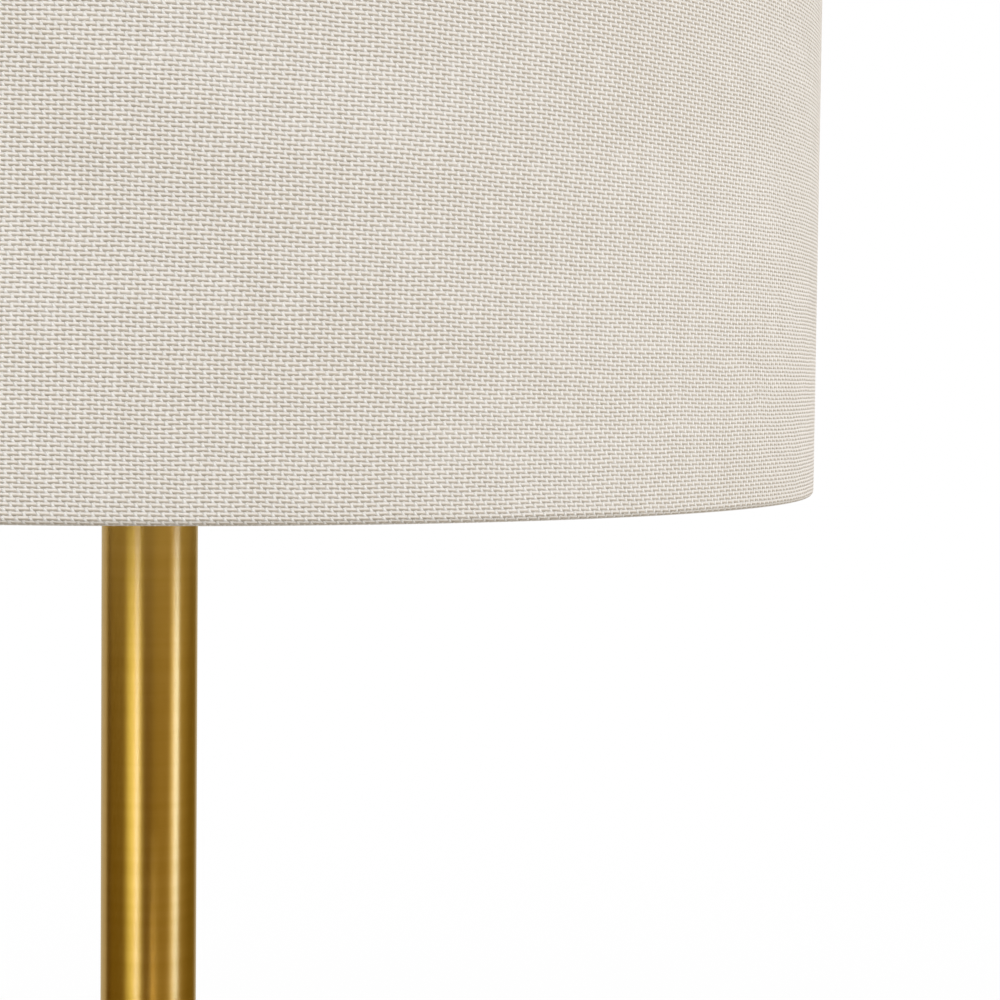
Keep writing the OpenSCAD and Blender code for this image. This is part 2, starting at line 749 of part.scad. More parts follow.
// Moulded block with the switch, the terminals and the seat of the screw shell
module switch_block() {
    block_r = sleeve_ir - fit;
    terminal_z = block_z + block_h / 2;
    color(moulded_black) difference() {
        translate([0, 0, block_z]) cylinder(r = block_r, h = block_h);
        for (side = [-1, 1]) translate([side * terminal_flat / 2, 0, terminal_z - terminal_d])
            translate([side < 0 ? -block_r : 0, -terminal_d, 0])
                cube([block_r, 2 * terminal_d, 2 * terminal_d]);
        translate([0, 0, shaft_z]) rotate([90, 0, 0])
            cylinder(r = shaft_d / 2 + run, h = 2 * block_r);
        translate([0, 0, block_z - past]) cylinder(d = rod_bore, h = block_h / 3 + past);
    }
}

module screw_shell() {
    color(old_brass) translate([0, 0, block_top_z])
        tube(screw_shell_r, screw_shell_ir, screw_shell_h);
}

module middle_contact() {
    color(brass) translate([0, 0, block_top_z]) cylinder(d = contact_d, h = contact_t);
}

module terminal_screws() {
    color(brass) for (side = [-1, 1])
        translate([side * terminal_flat / 2, 0, block_z + block_h / 2]) rotate([0, side * 90, 0])
            difference() {
                cylinder(d = terminal_d, h = terminal_h);
                translate([-terminal_d, -slot_w / 2, terminal_h - slot_t])
                    cube([2 * terminal_d, slot_w, slot_t + past]);
            }
}

module switch_shaft() {
    color(brass) translate([0, shaft_in_y, shaft_z]) rotate([90, 0, 0])
        cylinder(d = shaft_d, h = shaft_in_y - shaft_end_y);
}

// Turn knob on the switch shaft, with grooves for the fingers
module switch_knob() {
    color(moulded_black) translate([0, knob_in_y, shaft_z]) rotate([90, 0, 0]) difference() {
        rounded_disc(knob_d / 2, knob_l, knob_edge_r, knob_edge_r);
        translate([0, 0, -past]) cylinder(r = shaft_d / 2 + fit / 2, h = knob_l - knob_skin + past);
        for (i = [0 : knob_grooves - 1]) rotate(i * 360 / knob_grooves)
            translate([knob_d / 2 + groove_out, 0, knob_l / 4]) cylinder(r = groove_r, h = knob_l);
    }
}

module bulb_contact() {
    color(old_brass) translate([0, 0, bulb_z])
        rounded_disc(contact_d / 2, bulb_tip_h, bulb_tip_h / 2, sharp_r);
}

module bulb_insulator() {
    color(moulded_black) translate([0, 0, bulb_z + bulb_tip_h]) cylinder(
        r1 = contact_d / 2 + insulator_ledge, r2 = bulb_cap_d / 2 - insulator_inset,
        h = bulb_insulator_h - bulb_tip_h);
}

// Metal screw cap: a thin shell, drawn in at its foot, with rounded thread ridges
module bulb_cap() {
    shell_from_z = bulb_z + bulb_insulator_h;
    color(zinc) difference() {
        union() {
            translate([0, 0, shell_from_z]) rounded_disc(bulb_cap_d / 2 - ridge_d / 2,
                bulb_cap_top_z - shell_from_z, cap_foot_r, sharp_r);
            for (i = [0 : thread_count - 1])
                translate([0, 0, shell_from_z + ridge_start + i * thread_pitch])
                    wire_ring(bulb_cap_d / 2 - ridge_d / 2, ridge_d);
        }
        translate([0, 0, shell_from_z + bulb_cap_t * 2]) cylinder(r = bulb_cap_ir, h = bulb_cap_l);
    }
}

// Half section of the glass: globe, cone and neck, all drawn in by the given amount
module glass_half(inset) {
    r = globe_d / 2 - inset;
    lap_r = glass_lap_r - inset;
    floor_z = bulb_cap_top_z + inset;
    cone = [cos(glass_tangent_a), sin(glass_tangent_a)];
    foot = [glass_neck_r, bulb_cap_top_z] - inset * [cone[1], -cone[0]];
    floor_r = foot[0] + (floor_z - foot[1]) * cone[0] / cone[1];
    touch = foot + glass_tangent_l * cone;
    intersection() {
        translate([0, globe_z]) circle(r = r);
        translate([0, globe_z - r]) square([r, 2 * r]);
    }
    polygon([[0, floor_z], [floor_r, floor_z], touch, [0, touch[1]]]);
    translate([0, bulb_cap_top_z - glass_lap - inset]) square([lap_r, glass_lap + 2 * inset]);
}

// Opal glass envelope
module bulb_globe() {
    color(opal) rotate_extrude() difference() {
        glass_half(0);
        glass_half(glass_t);
    }
}

// Glass stalk inside the globe that holds the light sticks
module bulb_mount() {
    stalk_z = bulb_cap_top_z - glass_lap;
    color(opal) {
        translate([0, 0, stalk_z]) cylinder(r1 = glass_lap_r - glass_t - fit, r2 = mount_r,
            h = glass_lap * 2);
        translate([0, 0, stalk_z + glass_lap * 2]) cylinder(r = mount_r, h = mount_h / 2);
        translate([0, 0, stalk_z + glass_lap * 2 + mount_h / 2])
            cylinder(r = mount_r / 3, h = mount_h / 2);
    }
}

module bulb_filaments() {
    stick_z = bulb_cap_top_z + glass_lap + mount_h / 2 - filament_d;
    color(light_stick) for (i = [0 : filament_count - 1]) rotate(45 + i * 360 / filament_count)
        translate([mount_r + filament_d / 2, 0, stick_z]) cylinder(d = filament_d, h = filament_l);
}

module shade_liner() {
    color(white_wire) translate([0, 0, skin_z]) tube(liner_r, liner_ir, skin_h);
}

module shade_fabric() {
    color(linen) translate([0, 0, skin_z]) tube(shade_r, shade_r - linen_t, skin_h);
}

// Linen rolled over a rim and turned in behind its ring; the lip is at z 0 and the turn goes up
module hem() {
    rotate_extrude() {
        translate([turn_ir, 0]) square([shade_r - turn_ir, hem_lip]);
        translate([turn_ir, 0]) square([linen_t, hem_lip + hem_turn]);
    }
}

module bottom_hem() {
    color(linen) translate([0, 0, rim_z]) hem();
}

module top_hem() {
    color(linen) difference() {
        translate([0, 0, top_rim_z]) mirror([0, 0, 1]) hem();
        arms(arm_d + 2 * arm_notch);
    }
}

module bottom_ring() {
    color(white_wire) translate([0, 0, bottom_ring_z]) wire_ring(ring_r, ring_wire_d);
}

module top_ring() {
    color(white_wire) translate([0, 0, top_ring_z]) wire_ring(ring_r, ring_wire_d);
}

module arms(d) {
    for (i = [0 : arm_count - 1]) rotate(cord_angle + i * 360 / arm_count)
        translate([arm_in_r, 0, arm_z]) rotate([0, 90 - arm_slope, 0])
            cylinder(d = d, h = arm_l);
}

// Washer that hangs the drum on the stud
module spider_washer() {
    color(white_wire) translate([0, 0, spider_z])
        tube(spider_washer_d / 2, stud_hole_r, spider_washer_t);
}

// Arms that run from the washer's edge up to the top ring
module spider_arms() {
    color(white_wire) difference() {
        arms(arm_d);
        translate([0, 0, arm_z]) cylinder(d = spider_washer_d, h = 2 * arm_d, center = true);
        translate([0, 0, top_ring_z]) wire_ring(ring_r, ring_wire_d + 2 * glue);
    }
}

// Turned nut that clamps the spider's washer
module finial() {
    bore_h = stud_h - spider_washer_t + past;
    ball_z = finial_h - finial_ball_d / 2;
    color(brass) translate([0, 0, finial_z]) difference() {
        union() {
            rounded_disc(finial_base_d / 2, finial_base_h, broken_r, turned_r);
            cylinder(d = finial_neck_d, h = ball_z);
            translate([0, 0, ball_z]) sphere(d = finial_ball_d);
        }
        translate([0, 0, -past]) cylinder(r = stud_hole_r, h = bore_h + past);
    }
}

pad(leg_front_angle);  // pad_front
pad(leg_right_angle);  // pad_right
pad(leg_left_angle);  // pad_left
foot(leg_front_angle);  // foot_front
foot(leg_right_angle);  // foot_right
foot(leg_left_angle);  // foot_left
leg(leg_front_angle);  // leg_front
leg(leg_right_angle);  // leg_right
leg(leg_left_angle);  // leg_left
leg_screws();
hub();
hub_cover();
cord_bushing();
base_washer();
base_nut();
threaded_rod();
stem_collar();
stem();
stem_cap();
saddle();
saddle_nut();
harp();
harp_stud();
harp_sleeve(1);  // harp_sleeve_right
harp_sleeve(-1);  // harp_sleeve_left
holder_cap();
holder_cap_screw();
holder_shell();
insulating_sleeve();
switch_block();
screw_shell();
middle_contact();
terminal_screws();
switch_shaft();
switch_knob();
bulb_contact();
bulb_insulator();
bulb_cap();
bulb_globe();
bulb_mount();
bulb_filaments();
shade_liner();
shade_fabric();
top_hem();
bottom_hem();
top_ring();
bottom_ring();
spider_washer();
spider_arms();
finial();
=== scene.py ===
# %% [markdown]
# # A tripod table lamp
# The lamp's metal, plastic and glass pieces come from the CAD model, at their real size and place. This
# script is about how they look: the linen of the shade is cut, wrapped and rolled here, the brass is
# brushed, and a small studio lights it all. Everything is in metres, with +Z up.

# %% Load the frame
import json
import math

import bmesh
import bpy
from mathutils import Matrix, Vector


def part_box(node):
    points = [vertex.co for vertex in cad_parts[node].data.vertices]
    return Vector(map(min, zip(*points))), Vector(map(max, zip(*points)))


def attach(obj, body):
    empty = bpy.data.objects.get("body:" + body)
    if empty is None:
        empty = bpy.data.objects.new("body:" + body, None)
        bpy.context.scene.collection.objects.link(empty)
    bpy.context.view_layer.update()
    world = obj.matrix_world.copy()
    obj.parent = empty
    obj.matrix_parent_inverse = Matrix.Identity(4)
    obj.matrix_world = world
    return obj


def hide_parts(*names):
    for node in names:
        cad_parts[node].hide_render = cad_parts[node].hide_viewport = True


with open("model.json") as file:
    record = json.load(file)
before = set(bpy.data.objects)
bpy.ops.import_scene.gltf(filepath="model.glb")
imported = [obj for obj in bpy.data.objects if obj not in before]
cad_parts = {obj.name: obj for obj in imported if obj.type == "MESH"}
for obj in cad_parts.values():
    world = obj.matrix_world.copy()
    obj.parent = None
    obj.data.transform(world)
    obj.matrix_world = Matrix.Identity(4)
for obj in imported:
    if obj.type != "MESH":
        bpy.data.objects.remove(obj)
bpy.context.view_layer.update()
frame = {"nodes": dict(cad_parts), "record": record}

MM = 0.001

# %% [markdown]
# ## Camera
# The photograph looks closely at the rim of the shade, from just above it. Placed by eye, a camera would
# leave every edge some pixels off. So a pinhole camera was fitted to the edge of the rim, the side of the
# shade and the sides of the stem: its place is given by how far it stands from the
# lamp's axis, its height above the rim, and three small turns. The front leg's reflection, a thin streak on
# the stem just right of the middle, tells how far the camera stands to the left of that leg.

# %% Camera
LENS = 84.51
SENSOR = 36
CAMERA_DISTANCE = 0.63105
CAMERA_RISE = 0.0296
CAMERA_SIDE = math.radians(10.9)
YAW = 0.1482
PITCH = 0.0525
ROLL = 0.0113

toward_camera = Vector((-math.sin(CAMERA_SIDE), -math.cos(CAMERA_SIDE), 0))
camera_right = Vector((math.cos(CAMERA_SIDE), -math.sin(CAMERA_SIDE), 0))

heading = CAMERA_SIDE + YAW
forward = Vector((math.sin(heading) * math.cos(PITCH), math.cos(heading) * math.cos(PITCH), -math.sin(PITCH)))
level = Vector((math.cos(heading), -math.sin(heading), 0))
upright = level.cross(forward)
right = level * math.cos(ROLL) + upright * math.sin(ROLL)
up = upright * math.cos(ROLL) - level * math.sin(ROLL)

camera = bpy.data.objects.new("camera", bpy.data.cameras.new("camera"))
bpy.context.scene.collection.objects.link(camera)
camera.data.lens = LENS
camera.data.sensor_width = SENSOR
camera.data.clip_start = 0.01
camera.data.clip_end = 50
camera.matrix_world = Matrix((right, up, -forward)).transposed().to_4x4()
rim_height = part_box("bottom_hem")[0].z
camera.location = toward_camera * CAMERA_DISTANCE + Vector((0, 0, rim_height + CAMERA_RISE))
bpy.context.scene.camera = camera


# %% [markdown]
# ## Signals
# A material is a small program made of nodes, and it could be drawn by hand in the node editor. The linen
# needs so many of them that a drawing would be hard to read, so they are written instead. `Signal` wraps
# one output of a node: sums, products and waves of signals read as they do in mathematics, and each adds
# its own Math node.

# %% Signals
class Signal:
    """One output of a shader node."""

    def __init__(self, tree, socket):
        self.tree = tree
        self.socket = socket

    def math(self, operation, *others):
        values = {i: v for i, v in enumerate((self, *others))}
        return self.tree.node("ShaderNodeMath", {"operation": operation}, values)

    def __add__(self, other):
        return self.math("ADD", other)

    def __sub__(self, other):
        return self.math("SUBTRACT", other)

    def __mul__(self, other):
        return self.math("MULTIPLY", other)

    def __truediv__(self, other):
        return self.math("DIVIDE", other)

    def __radd__(self, other):
        return self.math("ADD", other)

    def __rmul__(self, other):
        return self.math("MULTIPLY", other)

    def __rsub__(self, other):
        return self.tree.node("ShaderNodeMath", {"operation": "SUBTRACT"}, {0: other, 1: self})

    def __rtruediv__(self, other):
        return self.tree.node("ShaderNodeMath", {"operation": "DIVIDE"}, {0: other, 1: self})

    def wave(self):
        """The cosine of half turns: +1 at even numbers and -1 at odd ones."""
        return (self * math.pi).math("COSINE")

    def between(self, low, high):
        """0 below low, 1 above high, and a smooth step from one to the other."""
        settings = {"interpolation_type": "SMOOTHSTEP"}
        return self.tree.node("ShaderNodeMapRange", settings, {"Value": self, 1: low, 2: high})


print("a signal knows:", [name for name in vars(Signal) if not name.startswith("_")])

# %% [markdown]
# ## Node trees
# `Tree` is the program of one material, lamp or world. Every node that isn't a Math node comes from its one
# method `node`, which takes the node's type, its settings and its inputs. So a finish reads as a short list
# of what it is made of. `surface` ends it in a Principled shader, which covers cloth, metal and glass alike.

# %% Node trees
class Tree:
    """The node tree of one material or lamp, or of the world."""

    def __init__(self, owner):
        owner.use_nodes = True
        self.nodes = owner.node_tree.nodes
        self.links = owner.node_tree.links
        self.nodes.clear()

    def node(self, kind, settings, sockets, out=0):
        """Makes a node: its settings first, then the values or links of its sockets."""
        made = self.nodes.new(kind)
        for name, value in settings.items():
            if name == "stops":
                self.set_stops(made.color_ramp, value)
            else:
                setattr(made, name, value)
        for name, value in sockets.items():
            if isinstance(value, Signal):
                self.links.new(value.socket, made.inputs[name])
            else:
                made.inputs[name].default_value = value
        return Signal(self, made.outputs[out]) if made.outputs else made

    @staticmethod
    def set_stops(ramp, stops):
        """Colours along a ramp, as (place, colour) pairs."""
        while len(ramp.elements) < len(stops):
            ramp.elements.new(1)
        for element, (place, colour) in zip(ramp.elements, stops):
            element.position = place
            element.color = (*colour, 1)

    def places(self):
        """The piece's own coordinates, in metres."""
        return self.node("ShaderNodeTexCoord", {}, {}, "Object")

    def stretched(self, place, scale):
        return self.node("ShaderNodeVectorMath", {"operation": "MULTIPLY"}, {0: place, 1: scale})

    def noise(self, place, scale, detail=2):
        return self.node("ShaderNodeTexNoise", {}, {"Vector": place, "Scale": scale, "Detail": detail})

    def mix(self, share, first, second):
        """Colour first where share is 0, and second where it is 1."""
        first, second = (c if isinstance(c, Signal) else (*c, 1) for c in (first, second))
        return self.node("ShaderNodeMix", {"data_type": "RGBA"}, {0: share, 6: first, 7: second}, 2)

    def bump(self, height, distance, strength=1):
        return self.node("ShaderNodeBump", {}, {"Height": height, "Distance": distance, "Strength": strength})


def surface(name, build, **constants):
    """A material with one Principled shader. build(tree) returns the sockets that vary."""
    made = bpy.data.materials.new(name)
    tree = Tree(made)
    shader = tree.node("ShaderNodeBsdfPrincipled", {}, {**constants, **build(tree)})
    tree.node("ShaderNodeOutputMaterial", {"target": "ALL"}, {"Surface": shader})
    return made


print("a tree can make:", [name for name in vars(Tree) if not name.startswith("_")])

# %% [markdown]
# ## Softboxes
# The photograph was made on white, with a tall softbox on each side of the camera, and the brass shows them
# as two bright bands. Plain area lamps would give bands with hard sides, but the photo's are uneven: a pale
# core and warm, dim flanks. So each softbox has its own light across its width, and a colour ramp gives it
# from stop to stop. Both start about as high as the shade's rim, so the shade hides more of them the nearer
# the stem comes to it, and the bands fade there. One more hangs over the camera and lights the legs' tops.

# %% Softboxes
WARM = (1, 0.9, 0.45)
MILD = (1, 1.06, 0.68)
WHITE = (1, 1.02, 1.3)
CORE = (0.9, 1.22, 3.0)
SOFTBOX_DISTANCE = 1.2
SOFTBOX_FOOT = 0.24
SOFTBOX_TOP = 1.2


def round_about(degrees, distance, height):
    """A place at an angle to the right of the camera, seen from the lamp's axis."""
    turn = math.radians(degrees)
    flat = toward_camera * math.cos(turn) + camera_right * math.sin(turn)
    return flat * distance + Vector((0, 0, height))


def softbox(name, place, target, size, stops):
    """A rectangular lamp that only reflections see. Its light changes across it, from stop to stop."""
    lamp = bpy.data.objects.new(name, bpy.data.lights.new(name, "AREA"))
    lamp.data.shape = "RECTANGLE"
    lamp.data.size, lamp.data.size_y = size
    peak = max(max(light) for share, light in stops)
    lamp.data.energy = peak * math.pi * size[0] * size[1]
    tree = Tree(lamp.data)
    flat = tree.node("ShaderNodeNewGeometry", {}, {}, "Parametric")
    across = tree.node("ShaderNodeSeparateXYZ", {}, {0: flat}, 0)
    ramp = {"stops": [(share, Vector(light) / peak) for share, light in stops]}
    glow = tree.node("ShaderNodeEmission", {}, {0: tree.node("ShaderNodeValToRGB", ramp, {0: across})})
    tree.node("ShaderNodeOutputLight", {}, {0: glow})
    toward = (Vector(target) - Vector(place)).to_track_quat("-Z", "Y")
    lamp.matrix_world = Matrix.Translation(place) @ toward.to_matrix().to_4x4()
    lamp.visible_camera = False
    lamp.visible_diffuse = False
    bpy.context.scene.collection.objects.link(lamp)


def tall_softbox(name, lights):
    """A softbox beside the camera. lights are angles around the stem, and what comes from there."""
    first, last = lights[0][0], lights[-1][0]
    middle = (first + last) / 2
    reach = 2 * math.tan(math.radians(last - first) / 2)
    place = round_about(middle, SOFTBOX_DISTANCE, (SOFTBOX_FOOT + SOFTBOX_TOP) / 2)
    shares = [0.5 + math.tan(math.radians(angle - middle)) / reach for angle, *rest in lights]
    stops = [(share, Vector(tint) * light) for share, (angle, light, tint) in zip(shares, lights)]
    size = (reach * SOFTBOX_DISTANCE, SOFTBOX_TOP - SOFTBOX_FOOT)
    softbox(name, place, (0, 0, place.z), size, stops)


LEFT_LIGHTS = [(-64.5, 0, WARM), (-61, 0.3, WARM), (-59, 0.8, WARM), (-56.5, 1.7, WARM), (-53, 2.7, MILD),
               (-50, 3.6, MILD), (-46, 4.4, MILD), (-42, 5.2, MILD), (-38.5, 6.1, MILD), (-35.5, 6.9, WHITE),
               (-32.5, 7.6, WHITE), (-29.5, 8.3, CORE), (-27.5, 8.0, CORE), (-25.5, 6.6, WHITE),
               (-23, 5.0, MILD), (-20.7, 3.4, MILD), (-18.5, 1.9, MILD), (-16, 0.8, WARM),
               (-13.5, 0.25, WARM), (-11, 0, WARM)]
RIGHT_LIGHTS = [(46, 0, WARM), (51, 0.7, WARM), (54, 2.0, MILD), (56.5, 3.8, WHITE), (59.5, 5.2, WHITE),
                (64.5, 6.9, CORE), (71.5, 8.6, CORE), (73.5, 6.2, CORE), (76, 2.8, MILD), (79, 1.5, WARM),
                (84, 1.0, WARM), (91, 0.7, WARM), (105, 0.3, WARM), (112, 0, WARM)]
OVER_PLACE = round_about(12, 1.3, 1.2)
OVER_TARGET = (0, 0, 0.1)
OVER_SIZE = (0.5, 0.6)
OVER_LIGHT = (9, 9, 9)
tall_softbox("softbox_left", LEFT_LIGHTS)
tall_softbox("softbox_right", RIGHT_LIGHTS)
softbox("softbox_over", OVER_PLACE, OVER_TARGET, OVER_SIZE, [(0, OVER_LIGHT), (1, OVER_LIGHT)])

# %% [markdown]
# ## Paper floor
# The lamp stands on white paper, and its shadow falls there. More light would make the paper white, but the
# linen too. So the camera sees most of the paper's white as a glow. From below the paper is clear, so that
# the lamp can be looked at from there.

# %% Paper floor
FLOOR_SIZE = 8
FLOOR_DROP = 0.4 * MM
PAPER = (0.62, 0.62, 0.62, 1)
RAISED = 0.86


def mesh_object(name, bm, material, smooth=True):
    """Turns a finished bmesh into an object with one material."""
    mesh = bpy.data.meshes.new(name)
    bm.to_mesh(mesh)
    bm.free()
    for face in mesh.polygons:
        face.use_smooth = smooth
    mesh.materials.append(material)
    made = bpy.data.objects.new(name, mesh)
    bpy.context.scene.collection.objects.link(made)
    return made


def floor_finish():
    """White paper: lit as paper is, and raised nearly to white for the camera."""
    made = bpy.data.materials.new("floor_paper")
    tree = Tree(made)
    seen = tree.node("ShaderNodeLightPath", {}, {}, "Is Camera Ray")
    behind = tree.node("ShaderNodeNewGeometry", {}, {}, "Backfacing")
    paper = tree.node("ShaderNodeBsdfDiffuse", {}, {"Color": PAPER})
    white = tree.node("ShaderNodeEmission", {}, {"Strength": 1})
    raised = tree.node("ShaderNodeMixShader", {}, {0: seen * RAISED, 1: paper, 2: white})
    clear = tree.node("ShaderNodeBsdfTransparent", {}, {})
    whole = tree.node("ShaderNodeMixShader", {}, {0: behind * seen, 1: raised, 2: clear})
    tree.node("ShaderNodeOutputMaterial", {"target": "ALL"}, {"Surface": whole})
    return made


def only_seen_by(thing, *rays):
    for ray in ("camera", "diffuse", "glossy", "transmission", "shadow", "volume_scatter"):
        setattr(thing, "visible_" + ray, ray in rays)


bm = bmesh.new()
bmesh.ops.create_grid(bm, x_segments=1, y_segments=1, size=FLOOR_SIZE / 2)
bmesh.ops.translate(bm, vec=(0, 0, -FLOOR_DROP), verts=bm.verts)
floor = mesh_object("floor", bm, floor_finish(), smooth=False)
only_seen_by(floor, "camera")
print("floor:", FLOOR_SIZE, "m wide")

# %% [markdown]
# ## Dark screens
# Between the two bright bands the brass shows the unlit room as dark brown. The room could be painted on the
# world, but there it would be endlessly far away. So it is a round wall of dark, warm screens that only
# reflections see. It is open at the top, and pale at the back, where the white backdrop stands in half
# shade. The wall glows by itself, so that no lamp has to be aimed at it.

# %% Dark screens
SCREEN_RADIUS = 2.4
SCREEN_LOW = -1.6
SCREEN_HIGH = 4
SCREEN_SIDES = 96
SCREEN_COLOUR = (0.22, 0.145, 0.018)
# The angle to the right of the camera, the cosines where a patch begins and is full, and its colour.
SCREEN_PATCHES = [(42, 0.74, 1, (0.36, 0.25, 0.055)), (-8, 0.94, 1, (0.17, 0.095, 0.004)),
                  (192.5, 0.636, 0.788, (0.56, 0.48, 0.31)), (-112, 0.985, 1, (0.11, 0.06, 0.005))]


def screen_finish():
    """Dark and warm, with a lighter patch at the right, darker ones at the middle and left, a pale back."""
    made = bpy.data.materials.new("dark_screen")
    tree = Tree(made)
    flat = tree.stretched(tree.places(), (1, 1, 0))
    place = tree.node("ShaderNodeVectorMath", {"operation": "NORMALIZE"}, {0: flat})

    def near(degrees):
        sockets = {0: place, 1: round_about(degrees, 1, 0)}
        return tree.node("ShaderNodeVectorMath", {"operation": "DOT_PRODUCT"}, sockets, "Value")

    colour = SCREEN_COLOUR
    for degrees, begins, full, patch in SCREEN_PATCHES:
        colour = tree.mix(near(degrees).between(begins, full), colour, patch)
    glow = tree.node("ShaderNodeEmission", {}, {"Color": colour, "Strength": 1})
    tree.node("ShaderNodeOutputMaterial", {"target": "ALL"}, {"Surface": glow})
    return made


bm = bmesh.new()
bmesh.ops.create_cone(bm, segments=SCREEN_SIDES, cap_ends=True, radius1=SCREEN_RADIUS, radius2=SCREEN_RADIUS,
                      depth=SCREEN_HIGH - SCREEN_LOW)
bmesh.ops.translate(bm, vec=(0, 0, (SCREEN_HIGH + SCREEN_LOW) / 2), verts=bm.verts)
bmesh.ops.delete(bm, geom=[f for f in bm.faces if f.normal.z > 0.9], context="FACES_ONLY")
screens = mesh_object("dark_screens", bm, screen_finish())
only_seen_by(screens, "glossy")
print("screens:", len(screens.data.polygons), "faces")

# %% [markdown]
# ## World
# The world is white for the camera, for reflections and for what is seen through glass. The light that falls
# on matt surfaces could come from lamps, but a world gives it softer and with less noise. It is brighter
# above, most of all about half way up, so that every thread is lit from above and shaded underneath, and it
# is a little warm from below. It is flatter at the right, where the photo shows hardly any weave near the
# shade's side.

# %% World
# The light from all around; how much more comes from above, and the height at which that would end; how
# much less of it comes from the right, and the level light that comes from there instead.
FILL = 0.38
SKY = 3.25
SKY_TOP = 1.25
SKY_LEFT = 0.75
SIDE = 0.72
BELOW = (1, 0.93, 0.83)
BELOW_BEGINS = 0.1
BELOW_FULL = -0.4

world = bpy.data.worlds.new("studio")
bpy.context.scene.world = world
world.cycles.sampling_method = "NONE"
tree = Tree(world)
seen = sum((tree.node("ShaderNodeLightPath", {}, {}, name) for name in
            ("Is Camera Ray", "Is Glossy Ray", "Is Transmission Ray")), 0)
direction = tree.node("ShaderNodeTexCoord", {}, {}, "Generated")
height = tree.node("ShaderNodeSeparateXYZ", {}, {0: direction}, 2)
rightward = tree.node("ShaderNodeVectorMath", {"operation": "DOT_PRODUCT"},
                      {0: direction, 1: camera_right}, "Value")
above = height.math("MAXIMUM", 0)
sky_light = above * (SKY_TOP - above) * SKY * (1 - rightward * SKY_LEFT)
fill = FILL + sky_light + rightward.math("MAXIMUM", 0) * SIDE
share = seen.math("MINIMUM", 1)
strength = share + (1 - share) * fill
colour = tree.mix(height.between(BELOW_BEGINS, BELOW_FULL) * (1 - share), (1, 1, 1), BELOW)
background = tree.node("ShaderNodeBackground", {}, {"Color": colour, "Strength": strength})
tree.node("ShaderNodeOutputWorld", {}, {"Surface": background})
print("world:", len(tree.nodes), "nodes")

# %% [markdown]
# ## Linen weave
# The shade's cloth is a natural linen in plain weave: each thread passes over one and under the next. The
# standing warp threads are 1.33 mm apart and fairly thin; the level weft threads are 0.89 mm apart and
# thicker. Hundreds of thousands of crossings are too many to model, so the weave is a height that the
# shader works out from the cloth's flat coordinates: each thread is a rounded ridge that rises and dips
# like a cosine, and what shows is the higher of the two. Noise makes the threads drift and thicken.

# %% Linen weave
WARP_PITCH = 1.33 * MM
WEFT_PITCH = 0.89 * MM
WARP_LEAN = 0.052
WARP_SLANT = 0.30

# The ridges, where a weft thread is 1 high: the warp's height, how far each rises and dips, how steeply its
# sides fall, and how much a thick place in the thread widens it.
WARP_TOP = 1.15
WARP_RISE = 0.35
WARP_ROUND = 20
WARP_KNOT = 6
WEFT_RISE = 0.5
WEFT_ROUND = 5.2
WEFT_SLUB = 2

# How fine the noise is, and how far it moves the threads, in threads.
DRIFT_SCALE = 28
SWAY_SCALE = 95
WARP_DRIFT = 1.4
WARP_SWAY = 0.5
WEFT_DRIFT = 0.8
WEFT_SWAY = 0.55
SLUB_SCALE = 60
WANDER = 0.22

# How far apart in the noise two neighbouring threads are.
WEFT_STEP = 7.3
WARP_STEP = 5.9
CELL_STEPS = (3.7, 4.9)

# Each pair is where a smooth step is 0 and where it is 1: of the cosine of over and under, of the ridges'
# difference in height, and then of the distance from the middle of a weft thread, in threads.
FLOAT_ENDS = (-0.98, -0.4)
CROSSING_EDGE = (-0.1, 0.3)
HIGHLIGHT_LOW = (0.25, -0.05)
SHADE_TOP = (0.16, -0.1)
SHADE_FOOT = (-0.56, -0.36)

# The painted highlight on a crossing: its least strength, and how much more it gets low in the row.
HIGHLIGHT_LEAST = 0.25
HIGHLIGHT_MORE = 0.7
SHADE_WAVY = 0.35
TONE_WANDER = 0.9


